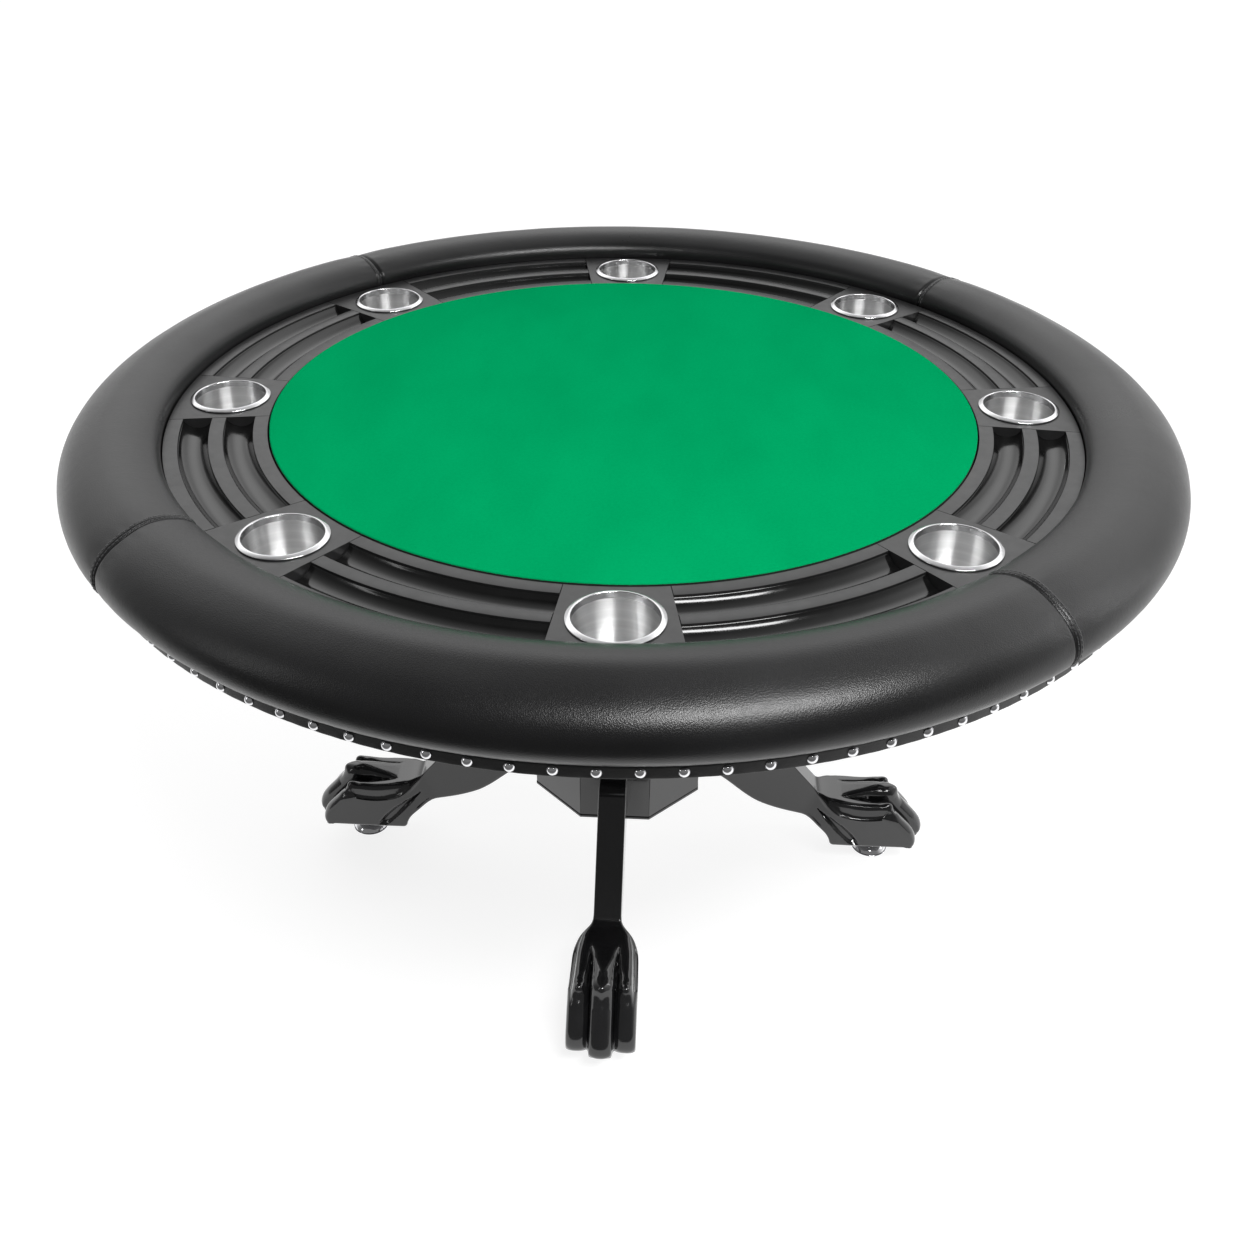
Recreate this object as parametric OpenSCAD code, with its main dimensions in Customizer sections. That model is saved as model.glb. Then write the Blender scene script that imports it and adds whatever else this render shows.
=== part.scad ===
// Round card table: padded rail, cup and chip track, cloth field, staved pedestal with four clawed legs.
// Millimetres, +Z up. The origin is on the floor, on the table's centre line.

/* [Overall] */
// Outer diameter over the padded rail
table_d = 1397; // [1380:1:1410]
// Height of the track's flat top above the floor
track_z = 750; // [745:1:760]
// Turn of the pedestal under the top, in degrees
base_turn = -2; // [-10:0.5:10]

/* [Playing field] */
// Radius of the cloth field
cloth_r = 449.5; // [448:0.5:450]
// How far the cloth stands above the track
cloth_rise = 2.5; // [2:0.1:3]
// Thickness of the playing board
board_t = 17.8; // [15:0.1:18]
// Thickness of the foam under the cloth
pad_t = 3; // [2:0.1:3.2]

/* [Track] */
// Number of cup stations, and of chip racks between them
station_count = 8; // [8]
// Half of the angle that one cup station covers
station_half = 7; // [6.8:0.05:7.2]
// Inner radius of the track
track_in_r = 451; // [450.5:0.1:451.2]
// Outer radius of the track
track_out_r = 576.5; // [575:0.1:576.6]
// Depth of the racks and cup blocks
track_t = 34; // [30:1:34]
// Radius of the middle of the inner chip channel
channel_1_r = 487; // [486:0.5:488]
// Radius of the middle of the outer chip channel
channel_2_r = 540.5; // [540:0.5:541]
// Width of a chip channel
channel_w = 36; // [34:0.5:37]
// Depth of a chip channel
channel_t = 13; // [11:0.5:14]

/* [Cups] */
// Radius of the circle the cups stand on
cup_circle_r = 511.3; // [510:0.1:512]
// Outer radius of a cup's rim
cup_rim_r = 51; // [50:0.1:52]
// Inner radius of a cup
cup_in_r = 44.6; // [43:0.1:45]
// Depth of a cup below the track
cup_t = 61; // [58:0.5:62]

/* [Rail] */
// Height of the rail's crown above the track
rail_rise = 35; // [33:0.5:37]
// Height of the band with the nails, under the rail
band_t = 15.5; // [15:0.5:17]
// Number of foam blocks under the cover
foam_count = 32; // [24:4:40]
// Number of nails
nail_count = 105; // [90:1:110]
// Radius of a nail's head
nail_r = 5.5; // [4.5:0.1:6]

/* [Pedestal and legs] */
// Distance from the column's axis to each of its eight faces
column_face = 122; // [118:1:124]
// Thickness of the staves
stave_t = 18; // [15:1:20]
// Height of the column's base plate above the floor
base_z = 142; // [140:1:147]
// Thickness of a leg
leg_t = 38; // [36:0.5:40]
// Width of a paw
paw_w = 91; // [88:0.5:94]
// Radius of the circle the levelers stand on
leveler_r = 400; // [395:1:404]

/* [Hidden] */
rail_out_r = table_d / 2;
gap = 0.2;               // between glued or screwed faces
deck_top = track_z - 49.5;
deck_bottom = deck_top - band_t;
deck_r = 675;
seam_az = [-50, 40, 131.5, 218.5, 310]; // directions of the seams of the rail's cover, the first one twice
cover_t = 1.6;
station_step = 360 / station_count;
cup_hole_r = 46.6;
cup_wall = 0.8;
sole_z = 38;
stem_r = 6;
column_top = deck_bottom - 20;
base_plate_t = 6;
rail_bolt_r = 625;
plate_bolt_r = 175;
leg_bolt_z = [220, 360];
LEG_NAMES = ["front", "right", "back", "left"];

// ---- curves ----
// A point on a cubic curve through c[0] and c[3], and the unit normal on its left side.
function curve_at(c, t) = pow(1 - t, 3) * c[0] + 3 * t * pow(1 - t, 2) * c[1]
    + 3 * t * t * (1 - t) * c[2] + pow(t, 3) * c[3];
function slope_at(c, t) = pow(1 - t, 2) * (c[1] - c[0]) + 2 * t * (1 - t) * (c[2] - c[1])
    + t * t * (c[3] - c[2]);
function left_of(d) = [-d[1], d[0]] / norm(d);
// Points along a chain of cubic curves, moved sideways by out; the last point is left out.
function chain(cs, steps, out = 0) = [for (c = cs) for (i = [0:steps - 1])
    curve_at(c, i / steps) + out * left_of(slope_at(c, i / steps))];
function reversed(a) = [for (i = [len(a) - 1:-1:0]) a[i]];

// ---- rail ----
// Outer face of the rail from its inner foot, over the crown and round the nose to the band.
rail_steps = 9;
rail_bottom = -47.5;
rail_curves = [
    [[577.8, 0], [576.2, 8], [577.8, 17], [587, 22.8]],
    [[587, 22.8], [600, 31], [622, rail_rise + 4.2], [645, 31.5]],
    [[645, 31.5], [668.5, 23.7], [rail_out_r, 8], [rail_out_r, -20]],
    [[rail_out_r, -20], [rail_out_r, -32], [689.5, -41.5], [679, rail_bottom]]
];
rail_foot = [577.8, -30];
rail_tuck = [655, rail_bottom];
core_in_r = 585;
core_out_r = 668;
core_top = -12;
core_bottom = rail_bottom + 2;

function cover_face(inset) = concat(
    [rail_foot + [inset, 0]],
    chain(rail_curves, rail_steps, -inset),
    [[679, rail_bottom + inset], rail_tuck + [0, inset]]
);

module rail_cover(k) {
    color([0.05, 0.05, 0.055])
        translate([0, 0, track_z])
            rotate([0, 0, seam_az[k - 1] + 0.02])
                rotate_extrude(angle = seam_az[k] - seam_az[k - 1] - 0.04, $fn = 180)
                    polygon(concat(cover_face(0), reversed(cover_face(cover_t))));
}

// The foam is cut in short blocks that are glued side by side.
module rail_foam() {
    skin = cover_t + 0.4;
    block = 360 / foam_count;
    color([0.75, 0.75, 0.7])
        for (k = [0:foam_count - 1])
            translate([0, 0, track_z])
                rotate([0, 0, seam_az[0] + k * block + 0.02])
                    rotate_extrude(angle = block - 0.04, $fn = 180)
                        polygon(concat(
                            [rail_foot + [skin, 0]],
                            chain(rail_curves, rail_steps, -skin),
                            [
                                [678, core_bottom + gap],
                                [core_out_r + gap, core_bottom + gap],
                                [core_out_r + gap, core_top + gap],
                                [core_in_r - gap, core_top + gap],
                                [core_in_r - gap, rail_foot[1]]
                            ]));
}

module rail_core() {
    color([0.72, 0.58, 0.4])
        translate([0, 0, track_z])
            difference() {
                rotate_extrude($fn = 180)
                    polygon([
                        [core_in_r, core_bottom], [core_out_r, core_bottom],
                        [core_out_r, core_top], [core_in_r, core_top]
                    ]);
                for (k = [0:7])
                    rotate([0, 0, 22.5 + k * 45])
                        translate([rail_bolt_r, 0, core_bottom - 1])
                            cylinder(r = 4.4, h = 31, $fn = 24);
            }
}

module rail_band() {
    color([0.06, 0.06, 0.065])
        translate([0, 0, deck_bottom])
            rotate_extrude($fn = 180)
                polygon([
                    [deck_r + gap, 0], [deck_r + 1.8, 0], [deck_r + 2.2, 0.8],
                    [deck_r + 2.2, band_t - 0.6], [deck_r + gap, band_t - 0.2]
                ]);
}

// The nails were driven by hand, so their spacing drifts a little.
function nail_az(k) = let (even = -90.9 + k * 360 / nail_count) even - 0.55 * sin(2 * (even + 108));

module rail_nails() {
    head_h = 3.4;
    ball_r = (nail_r * nail_r + head_h * head_h) / (2 * head_h);
    color([0.85, 0.85, 0.87])
        for (k = [0:nail_count - 1])
            rotate([0, 0, nail_az(k)])
                translate([deck_r + 2.3, 0, deck_bottom + 7.3])
                    rotate([0, 90, 0]) {
                        intersection() {
                            translate([0, 0, head_h - ball_r]) sphere(r = ball_r, $fn = 32);
                            cylinder(r = nail_r + 1, h = head_h + 1, $fn = 24);
                        }
                        translate([0, 0, -11]) cylinder(r = 0.9, h = 11.5, $fn = 16);
                    }
}

module hex_bolt(r, head_r, head_h, length) {
    translate([0, 0, -head_h]) cylinder(r = head_r, h = head_h, $fn = 6);
    translate([0, 0, -0.5]) cylinder(r = r, h = length + 0.5, $fn = 24);
}

module rail_bolts() {
    color([0.6, 0.6, 0.62])
        for (k = [0:7])
            rotate([0, 0, 22.5 + k * 45])
                translate([rail_bolt_r, 0, deck_bottom - 0.1])
                    hex_bolt(4, 7.5, 5, 46);
}

// ---- deck ----
module deck_board() {
    color([0.08, 0.08, 0.085])
        difference() {
            translate([0, 0, deck_bottom]) cylinder(r = deck_r, h = band_t, $fn = 180);
            for (k = [0:station_count - 1])
                rotate([0, 0, k * station_step])
                    translate([cup_circle_r, 0, deck_bottom - 1])
                        cylinder(r = 48, h = band_t + 2, $fn = 64);
            for (k = [0:7])
                rotate([0, 0, 22.5 + k * 45]) {
                    translate([rail_bolt_r, 0, deck_bottom - 1]) cylinder(r = 4.5, h = band_t + 2, $fn = 24);
                    translate([plate_bolt_r, 0, deck_bottom - 1]) cylinder(r = 6.2, h = 13.2, $fn = 24);
                }
        }
}

module sleeve(out_r, in_r, h) {
    difference() {
        cylinder(r = out_r, h = h, $fn = 32);
        translate([0, 0, -1]) cylinder(r = in_r, h = h + 2, $fn = 32);
    }
}

module deck_inserts() {
    color([0.8, 0.68, 0.35])
        for (k = [0:7])
            rotate([0, 0, 22.5 + k * 45])
                translate([plate_bolt_r, 0, deck_bottom + 0.2])
                    sleeve(6, 4.2, 11.6);
}

module ring(in_r, out_r, z0, z1) {
    rotate_extrude($fn = 180)
        polygon([[in_r, z0], [out_r, z0], [out_r, z1], [in_r, z1]]);
}

module track_inner_bearer() {
    board_bottom = track_z + cloth_rise - 1.3 - pad_t - board_t - gap;
    color([0.7, 0.56, 0.38])
        rotate_extrude($fn = 180)
            polygon([
                [405, deck_top + gap], [459, deck_top + gap], [459, track_z - track_t - gap],
                [449, track_z - track_t - gap], [449, track_z - track_t - 2], [442, track_z - track_t - 2],
                [442, board_bottom - gap], [405, board_bottom - gap]
            ]);
}

module track_outer_bearer() {
    color([0.7, 0.56, 0.38])
        ring(561.5, track_out_r - 0.5, deck_top + gap, track_z - track_t - gap);
}

// ---- playing field ----
module playing_board() {
    top = track_z + cloth_rise - 1.3 - pad_t - gap;
    color([0.7, 0.6, 0.45])
        translate([0, 0, top - board_t]) cylinder(r = cloth_r - 1.7, h = board_t, $fn = 180);
}

module playing_pad() {
    color([0.85, 0.85, 0.8])
        translate([0, 0, track_z + cloth_rise - 1.3 - pad_t]) cylinder(r = cloth_r - 3.5, h = pad_t, $fn = 180);
}

module playing_cloth() {
    top = track_z + cloth_rise;
    thick = 1.2;
    color([0, 0.62, 0.36])
        rotate_extrude($fn = 180)
            polygon(concat(
                [[0, top - thick], [cloth_r - 3, top - thick], [cloth_r - thick - 0.2, top - 3],
                 [cloth_r - thick - 0.2, top - 22], [cloth_r, top - 22]],
                [for (a = [0:15:90]) [cloth_r - 3 + 3 * cos(a), top - 3 + 3 * sin(a)]],
                [[0, top]]));
}

// ---- track ----
// The profile of one channel's hollow: straight sides over a round floor.
function channel_floor(r0) =
    let (half = channel_w / 2, side = 3, sag = channel_t - side,
         floor_r = (half * half + sag * sag) / (2 * sag), reach = asin(half / floor_r))
    concat(
        [[r0 - half - 0.7, 0], [r0 - half, -0.7]],
        [for (i = [-6:6]) [r0 + floor_r * sin(i * reach / 6), -channel_t + floor_r * (1 - cos(i * reach / 6))]],
        [[r0 + half, -0.7], [r0 + half + 0.7, 0]]);

module chip_rack(k) {
    half = station_step / 2 - station_half - 0.03;
    color([0.07, 0.07, 0.075])
        translate([0, 0, track_z])
            rotate([0, 0, -90 + (k - 0.5) * station_step - half])
                rotate_extrude(angle = 2 * half, $fn = 180)
                    polygon(concat(
                        [[track_in_r, -track_t], [track_in_r, -0.6], [track_in_r + 0.6, 0]],
                        channel_floor(channel_1_r),
                        channel_floor(channel_2_r),
                        [[track_out_r - 0.6, 0], [track_out_r, -0.6], [track_out_r, -track_t]]));
}

module cup_block(k) {
    color([0.08, 0.08, 0.085])
        translate([0, 0, track_z])
            rotate([0, 0, -90 + (k - 1) * station_step])
                difference() {
                    rotate([0, 0, -station_half + 0.03])
                        rotate_extrude(angle = 2 * station_half - 0.06, $fn = 180)
                            polygon([
                                [track_in_r, -track_t], [track_in_r, -0.6], [track_in_r + 0.6, 0],
                                [track_out_r - 0.6, 0], [track_out_r, -0.6], [track_out_r, -track_t]
                            ]);
                    translate([cup_circle_r, 0, -track_t - 1]) cylinder(r = cup_hole_r, h = track_t + 2, $fn = 64);
                }
}

module cup(k) {
    out_r = cup_in_r + cup_wall;
    bend = 7;
    color([0.75, 0.75, 0.76])
        translate([0, 0, track_z])
            rotate([0, 0, -90 + (k - 1) * station_step])
                translate([cup_circle_r, 0, 0])
                    rotate_extrude($fn = 96)
                        polygon(concat(
                            [[0, -cup_t], [out_r - bend, -cup_t]],
                            [for (a = [-75:15:-15]) [out_r - bend + bend * cos(a), bend - cup_t + bend * sin(a)]],
                            [[out_r, bend - cup_t], [out_r, 0.2], [cup_rim_r - 0.9, 0.2]],
                            [for (a = [-60:30:90]) [cup_rim_r - 0.9 + 0.9 * cos(a), 1.1 + 0.9 * sin(a)]],
                            [[cup_rim_r - 3, 3], [out_r + 0.9, 4], [cup_in_r + 0.3, 3.6]],
                            [[cup_in_r, 2.9], [cup_in_r, bend + cup_wall - cup_t]],
                            [for (a = [-15:-15:-90]) [cup_in_r - bend + cup_wall + (bend - cup_wall) * cos(a),
                                bend - cup_t + (bend - cup_wall) * sin(a)]],
                            [[0, cup_wall - cup_t]]));
}

// ---- pedestal ----
module octagon(face, h) {
    rotate([0, 0, 22.5]) cylinder(r = face / cos(22.5), h = h, $fn = 8);
}

module pedestal_top_plate() {
    color([0.08, 0.08, 0.085])
        rotate([0, 0, base_turn])
            difference() {
                translate([0, 0, column_top + gap]) octagon(205, 20 - 2 * gap);
                for (k = [0:7])
                    rotate([0, 0, 22.5 + k * 45 - base_turn])
                        translate([plate_bolt_r, 0, column_top - 1]) cylinder(r = 4.5, h = 22, $fn = 24);
            }
}

module top_plate_bolts() {
    color([0.6, 0.6, 0.62])
        for (k = [0:7])
            rotate([0, 0, 22.5 + k * 45])
                translate([plate_bolt_r, 0, column_top + 0.1])
                    hex_bolt(4, 7.5, 5, 30);
}

module column_staves() {
    bottom = base_z + base_plate_t + gap;
    half_out = (column_face - 0.1) * tan(22.5);
    half_in = (column_face - stave_t) * tan(22.5);
    color([0.06, 0.06, 0.065])
        for (k = [0:7])
            rotate([0, 0, base_turn + k * 45])
                difference() {
                    translate([0, 0, bottom])
                        linear_extrude(height = column_top - bottom)
                            polygon([
                                [column_face - stave_t, -half_in + 0.05], [column_face, -half_out],
                                [column_face, half_out], [column_face - stave_t, half_in - 0.05]
                            ]);
                    if (k % 2 == 0)
                        for (z = leg_bolt_z)
                            translate([column_face - stave_t - 1, 0, z])
                                rotate([0, 90, 0]) cylinder(r = 4.5, h = stave_t + 2, $fn = 24);
                }
}

module column_cleats() {
    cleat = 40;
    color([0.7, 0.56, 0.38])
        for (k = [0:3])
            rotate([0, 0, base_turn + 45 + k * 90])
                translate([column_face - stave_t - cleat - gap, -cleat / 2, column_top - cleat])
                    cube([cleat, cleat, cleat]);
}

module column_base_plate() {
    color([0.06, 0.06, 0.065])
        rotate([0, 0, base_turn]) {
            translate([0, 0, base_z + 1.2]) octagon(column_face + 0.6, base_plate_t - 1.2);
            translate([0, 0, base_z]) octagon(column_face - 0.6, 1.4);
        }
}

// ---- legs ----
// Outlines in the leg's own plane: distance from the column's axis, and height above the floor.
leg_in = 122.3;
under_curves = [
    [[130, 157.6], [165, 149], [188, 110], [225, 95]],
    [[225, 95], [262, 80], [285, 79], [303, 67]],
    [[303, 67], [315, 57], [321, 42], [333, sole_z]]
];
side_toe_curves = [
    [[457, sole_z], [462, 44], [460.5, 59.5], [452, 70]],
    [[452, 70], [441, 81], [431, 94], [421, 106.5]],
    [[421, 106.5], [416, 113.5], [407, 114.5], [397, 112.5]],
    [[397, 112.5], [380, 110], [360, 112.5], [345, 114.5]]
];
centre_toe_curves = [
    [[470, sole_z], [478, 43], [476.5, 57], [466, 68]],
    [[466, 68], [452, 80.5], [441, 96], [431, 112]],
    [[431, 112], [425, 124], [415, 128.5], [402, 126.5]],
    [[402, 126.5], [384, 123.5], [363, 117], [345, 114.5]]
];
ridge_curves = [
    [[345, 114.5], [329, 115.5], [314, 117], [306, 122]],
    [[306, 122], [294, 136], [245, 196], [205, 247]],
    [[205, 247], [198, 257], [190, 262], [180, 262]],
    [[180, 262], [170, 262], [167, 275], [165, 300]],
    [[165, 300], [161, 345], [163, 400], [150, 425]]
];
// Half of the paw's width, seen from above, from the ankle to the toes.
paw_plan = [[300, leg_t / 2], [306, 20.5], [312, 24.5], [319, 31], [326, 36.8], [335, 41], [346, 43.8],
    [370, 44.8], [440, paw_w / 2], [485, paw_w / 2]];

module in_leg_plane(width) {
    rotate([90, 0, 0]) translate([0, 0, -width / 2]) linear_extrude(height = width) children();
}

module leg_body() {
    in_leg_plane(leg_t)
        polygon(concat([[leg_in, 157.6]], chain(under_curves, 8), chain(side_toe_curves, 6),
            chain(ridge_curves, 6), [[150, 425], [leg_in, 425]]));
    intersection() {
        in_leg_plane(paw_w + 2)
            polygon(concat([[300, 70]], chain([under_curves[2]], 8), chain(side_toe_curves, 6),
                chain([ridge_curves[0]], 6), [[300, 129]]));
        translate([0, 0, sole_z - 5])
            linear_extrude(height = 150)
                polygon(concat(paw_plan, reversed([for (p = paw_plan) [p[0], -p[1]]])));
    }
    in_leg_plane(28)
        polygon(concat([[345, sole_z]], chain(centre_toe_curves, 6)));
}

// The two grooves that part the toes, cut to one depth along the top and the front of the paw.
module toe_grooves() {
    lead = chain(side_toe_curves, 6);
    for (side = [-1, 1])
        translate([0, side * 16.5, 0])
            in_leg_plane(5)
                polygon(concat([for (p = lead) p + [6, 6]], reversed([for (p = lead) p + [-7, -8]])));
}

module leg(k) {
    color([0.03, 0.03, 0.035])
        rotate([0, 0, base_turn - 90 + k * 90])
            difference() {
                leg_body();
                toe_grooves();
                translate([leveler_r, 0, sole_z - 1]) cylinder(r = 8.2, h = 27, $fn = 32);
                translate([leveler_r, 0, sole_z - 1]) cylinder(r = 12.3, h = 3.2, $fn = 32);
                translate([leveler_r, 0, sole_z]) cylinder(r = 6.6, h = 66, $fn = 32);
                for (z = leg_bolt_z)
                    translate([leg_in - 1, 0, z]) rotate([0, 90, 0]) cylinder(r = 6.2, h = 29, $fn = 24);
            }
}

module leg_bolts() {
    color([0.6, 0.6, 0.62])
        for (k = [0:3])
            rotate([0, 0, base_turn + k * 90])
                for (z = leg_bolt_z)
                    translate([column_face - stave_t - 0.1, 0, z])
                        rotate([0, 90, 0]) hex_bolt(4, 7.5, 5, 44);
}

module leg_inserts() {
    color([0.8, 0.68, 0.35])
        for (k = [0:3])
            rotate([0, 0, base_turn + k * 90])
                for (z = leg_bolt_z)
                    translate([leg_in + 2, 0, z]) rotate([0, 90, 0]) sleeve(6, 4.2, 25);
}

// ---- levelers ----
module foot_inserts() {
    color([0.7, 0.7, 0.72])
        for (k = [0:3])
            rotate([0, 0, base_turn + k * 90])
                translate([leveler_r, 0, sole_z + 0.1]) {
                    difference() {
                        union() {
                            cylinder(r = 8, h = 25, $fn = 32);
                            cylinder(r = 12, h = 1.8, $fn = 32);
                        }
                        translate([0, 0, -1]) cylinder(r = stem_r + 0.08, h = 27, $fn = 32);
                    }
                }
}

module at_leveler(k) {
    rotate([0, 0, base_turn - 90 + k * 90]) translate([leveler_r, 0, 0]) children();
}

module leveler_pad(k) {
    color([0.88, 0.88, 0.9])
        at_leveler(k)
            rotate_extrude($fn = 72)
                polygon(concat(
                    [[0, 0], [27.6, 0]],
                    [for (a = [-60:30:90]) [27.4 + 1.2 * cos(a), 1.3 + 1.2 * sin(a)]],
                    [[24.8, 2.8]],
                    [for (a = [0:10:60]) [12 + 12.2 * cos(a), 3.6 + 13 * sin(a)]],
                    [[14, 18], [stem_r + 0.08, 18], [stem_r + 0.08, 8], [0, 8]]));
}

module leveler_stem(k) {
    color([0.82, 0.82, 0.84])
        at_leveler(k) {
            translate([0, 0, 8.4]) cylinder(r = stem_r, h = 83, $fn = 32);
            translate([0, 0, 18.4]) cylinder(r = 11, h = 9, $fn = 6);
        }
}

rail_core();
rail_foam();
rail_band();
rail_nails();
rail_bolts();
deck_board();
deck_inserts();
track_inner_bearer();
track_outer_bearer();
playing_board();
playing_pad();
playing_cloth();
for (k = [1:4])
    rail_cover(k);
for (k = [1:station_count]) {
    cup_block(k);
    chip_rack(k);
    cup(k);
}
pedestal_top_plate();
top_plate_bolts();
column_staves();
column_cleats();
column_base_plate();
for (k = [0:3]) {
    leg(k);
    leveler_pad(k);
    leveler_stem(k);
}
leg_bolts();
leg_inserts();
foot_inserts();
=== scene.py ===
from math import asin, atan2, cos, degrees, exp, hypot, pi, radians, sin, tan

import bmesh
import bpy
import numpy as np
from mathutils import Euler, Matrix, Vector


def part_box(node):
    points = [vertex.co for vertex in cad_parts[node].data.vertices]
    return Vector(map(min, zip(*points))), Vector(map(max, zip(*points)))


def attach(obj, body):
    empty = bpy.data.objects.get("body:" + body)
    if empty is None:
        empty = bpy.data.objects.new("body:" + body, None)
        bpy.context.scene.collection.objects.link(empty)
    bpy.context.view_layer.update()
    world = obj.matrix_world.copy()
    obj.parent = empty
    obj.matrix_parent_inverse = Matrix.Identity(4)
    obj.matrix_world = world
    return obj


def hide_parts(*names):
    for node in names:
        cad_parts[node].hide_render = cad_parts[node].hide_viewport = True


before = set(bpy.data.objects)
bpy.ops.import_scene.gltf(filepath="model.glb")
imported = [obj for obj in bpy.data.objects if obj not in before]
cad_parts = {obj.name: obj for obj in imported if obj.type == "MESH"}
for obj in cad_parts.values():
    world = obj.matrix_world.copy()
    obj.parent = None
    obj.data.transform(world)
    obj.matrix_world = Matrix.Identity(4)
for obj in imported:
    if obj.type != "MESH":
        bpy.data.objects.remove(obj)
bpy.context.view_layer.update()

# ==== Sizes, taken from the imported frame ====
MM = 0.001
TURN = 2 * pi
STATIONS = 8
STEP = TURN / STATIONS

track_low, track_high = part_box("chip_rack_1")
TRACK_Z = track_high[2]
TRACK_BOTTOM_Z = track_low[2]
(_, _, CLOTH_BOTTOM_Z), (CLOTH_R, _, CLOTH_Z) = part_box("playing_cloth")
(_, _, BAND_LOW_Z), (BAND_R, _, BAND_HIGH_Z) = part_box("rail_band")
RAIL_R = max(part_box(f"rail_cover_{k}")[1][0] for k in range(1, 5))
RAIL_TOP_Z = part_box("rail_cover_1")[1][2]
cup_low, cup_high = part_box("cup_1")
CUP_CENTRE_R = -(cup_low[1] + cup_high[1]) / 2
CUP_RIM_R = (cup_high[0] - cup_low[0]) / 2
CUP_BOTTOM_Z, CUP_TOP_Z = cup_low[2], cup_high[2]
(_, _, nail_low), (_, _, nail_high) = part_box("rail_nails")
NAIL_R = (nail_high - nail_low) / 2
NAIL_Z = (nail_high + nail_low) / 2
PLATE_LOW_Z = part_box("column_base_plate")[0][2]
(_, _, STAVE_LOW_Z), (_, _, STAVE_HIGH_Z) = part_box("column_staves")
(_, _, SOLE_Z), (_, _, LEG_TOP_Z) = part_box("leg_front")
pad_low, pad_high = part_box("leveler_pad_right")
LEVELER = Vector(((pad_low[0] + pad_high[0]) / 2, (pad_low[1] + pad_high[1]) / 2, 0))
LEVELER_R = LEVELER.length
BASE_TURN = atan2(LEVELER.y, LEVELER.x)

# Sizes that the frame's boxes don't show, the same as the CAD's.
STATION_HALF = radians(7)
TRACK_IN_R = 451 * MM
TRACK_OUT_R = 576.5 * MM
CHANNEL_R = (487 * MM, 540.5 * MM)
CHANNEL_HALF = 18 * MM
SEAMS = [radians(a) for a in (-50, 40, 131.5, 218.5, 310)]
NAIL_COUNT = 105
LEGS = {name: BASE_TURN - pi / 2 + k * pi / 2 for k, name in enumerate(("front", "right", "back", "left"))}
LEG_HALF = 19 * MM

rng = np.random.default_rng(7)


# ==== Mesh helpers ====
def linked(name, data):
    """A new object for this data, in the scene."""
    thing = bpy.data.objects.new(name, data)
    bpy.context.collection.objects.link(thing)
    return thing


def new_piece(name, shape, material, body="table", smooth=True, sharp_deg=40, place=(0, 0, 0)):
    """A mesh piece of the given points and faces, with clean, outward normals, riding on a body."""
    points, faces = shape
    mesh = bpy.data.meshes.new(name)
    mesh.from_pydata([tuple(p) for p in points], [], [tuple(f) for f in faces])
    bm = bmesh.new()
    bm.from_mesh(mesh)
    bmesh.ops.remove_doubles(bm, verts=bm.verts, dist=2e-6)
    bmesh.ops.dissolve_degenerate(bm, edges=bm.edges, dist=1e-6)
    bmesh.ops.recalc_face_normals(bm, faces=bm.faces)
    bm.to_mesh(mesh)
    bm.free()
    piece = linked(name, mesh)
    piece.location = place
    if smooth:
        mesh.shade_smooth()
        mesh.set_sharp_from_angle(angle=radians(sharp_deg))
    mesh.materials.append(material)
    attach(piece, body)
    return piece


def grid_faces(rows, columns, close_rows=False, close_columns=False):
    """Quads of a grid whose points run along the columns first."""
    faces = []
    for i in range(rows if close_rows else rows - 1):
        for j in range(columns if close_columns else columns - 1):
            a, b = i % rows, (i + 1) % rows
            c, d = j % columns, (j + 1) % columns
            faces.append((a * columns + c, a * columns + d, b * columns + d, b * columns + c))
    return faces


def tube_faces(rings, around):
    """Faces of a tube of rings, with a cap on each end."""
    faces = grid_faces(rings, around, False, True)
    return faces + [tuple(range(around)), tuple((rings - 1) * around + j for j in reversed(range(around)))]


def turned_faces(sides, outline):
    """Faces of an open outline turned once about its axis, with its two ends closed."""
    n = len(outline)
    first = tuple(j * n for j in range(sides))
    last = tuple((sides - 1 - j) * n + n - 1 for j in range(sides))
    return grid_faces(sides, n, True, False) + [first, last]


def polar(r, angle, z, centre=(0, 0, 0)):
    return (centre[0] + r * cos(angle), centre[1] + r * sin(angle), centre[2] + z)


def around(count):
    """The angles of even steps once round."""
    return [TURN * i / count for i in range(count)]


def lathe(profile, centre=(0, 0, 0), segments=96):
    """Points and faces of a closed outline (r, z) turned about a vertical axis."""
    points = [polar(r, a, z, centre) for a in around(segments) for r, z in profile]
    return points, grid_faces(segments, len(profile), True, True)


def arc_sweep(profile, start, end, segments):
    """Points and faces of a closed outline (r, z) turned through part of a circle, with capped ends."""
    angles = [start + (end - start) * i / segments for i in range(segments + 1)]
    return [polar(r, a, z) for a in angles for r, z in profile], tube_faces(segments + 1, len(profile))


def merged(parts):
    """One list of points and faces from several."""
    points, faces = [], []
    for part_points, part_faces in parts:
        base = len(points)
        points += part_points
        faces += [tuple(base + i for i in face) for face in part_faces]
    return points, faces


def turned(part, angle):
    """The part turned about the table's axis."""
    c, s = cos(angle), sin(angle)
    points, faces = part
    return [(c * x - s * y, s * x + c * y, z) for x, y, z in points], faces


def arc(cx, cz, r, start_deg, end_deg, steps):
    """Points on an arc, both ends included."""
    angles = [radians(start_deg + (end_deg - start_deg) * i / steps) for i in range(steps + 1)]
    return [(cx + r * cos(a), cz + r * sin(a)) for a in angles]


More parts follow.
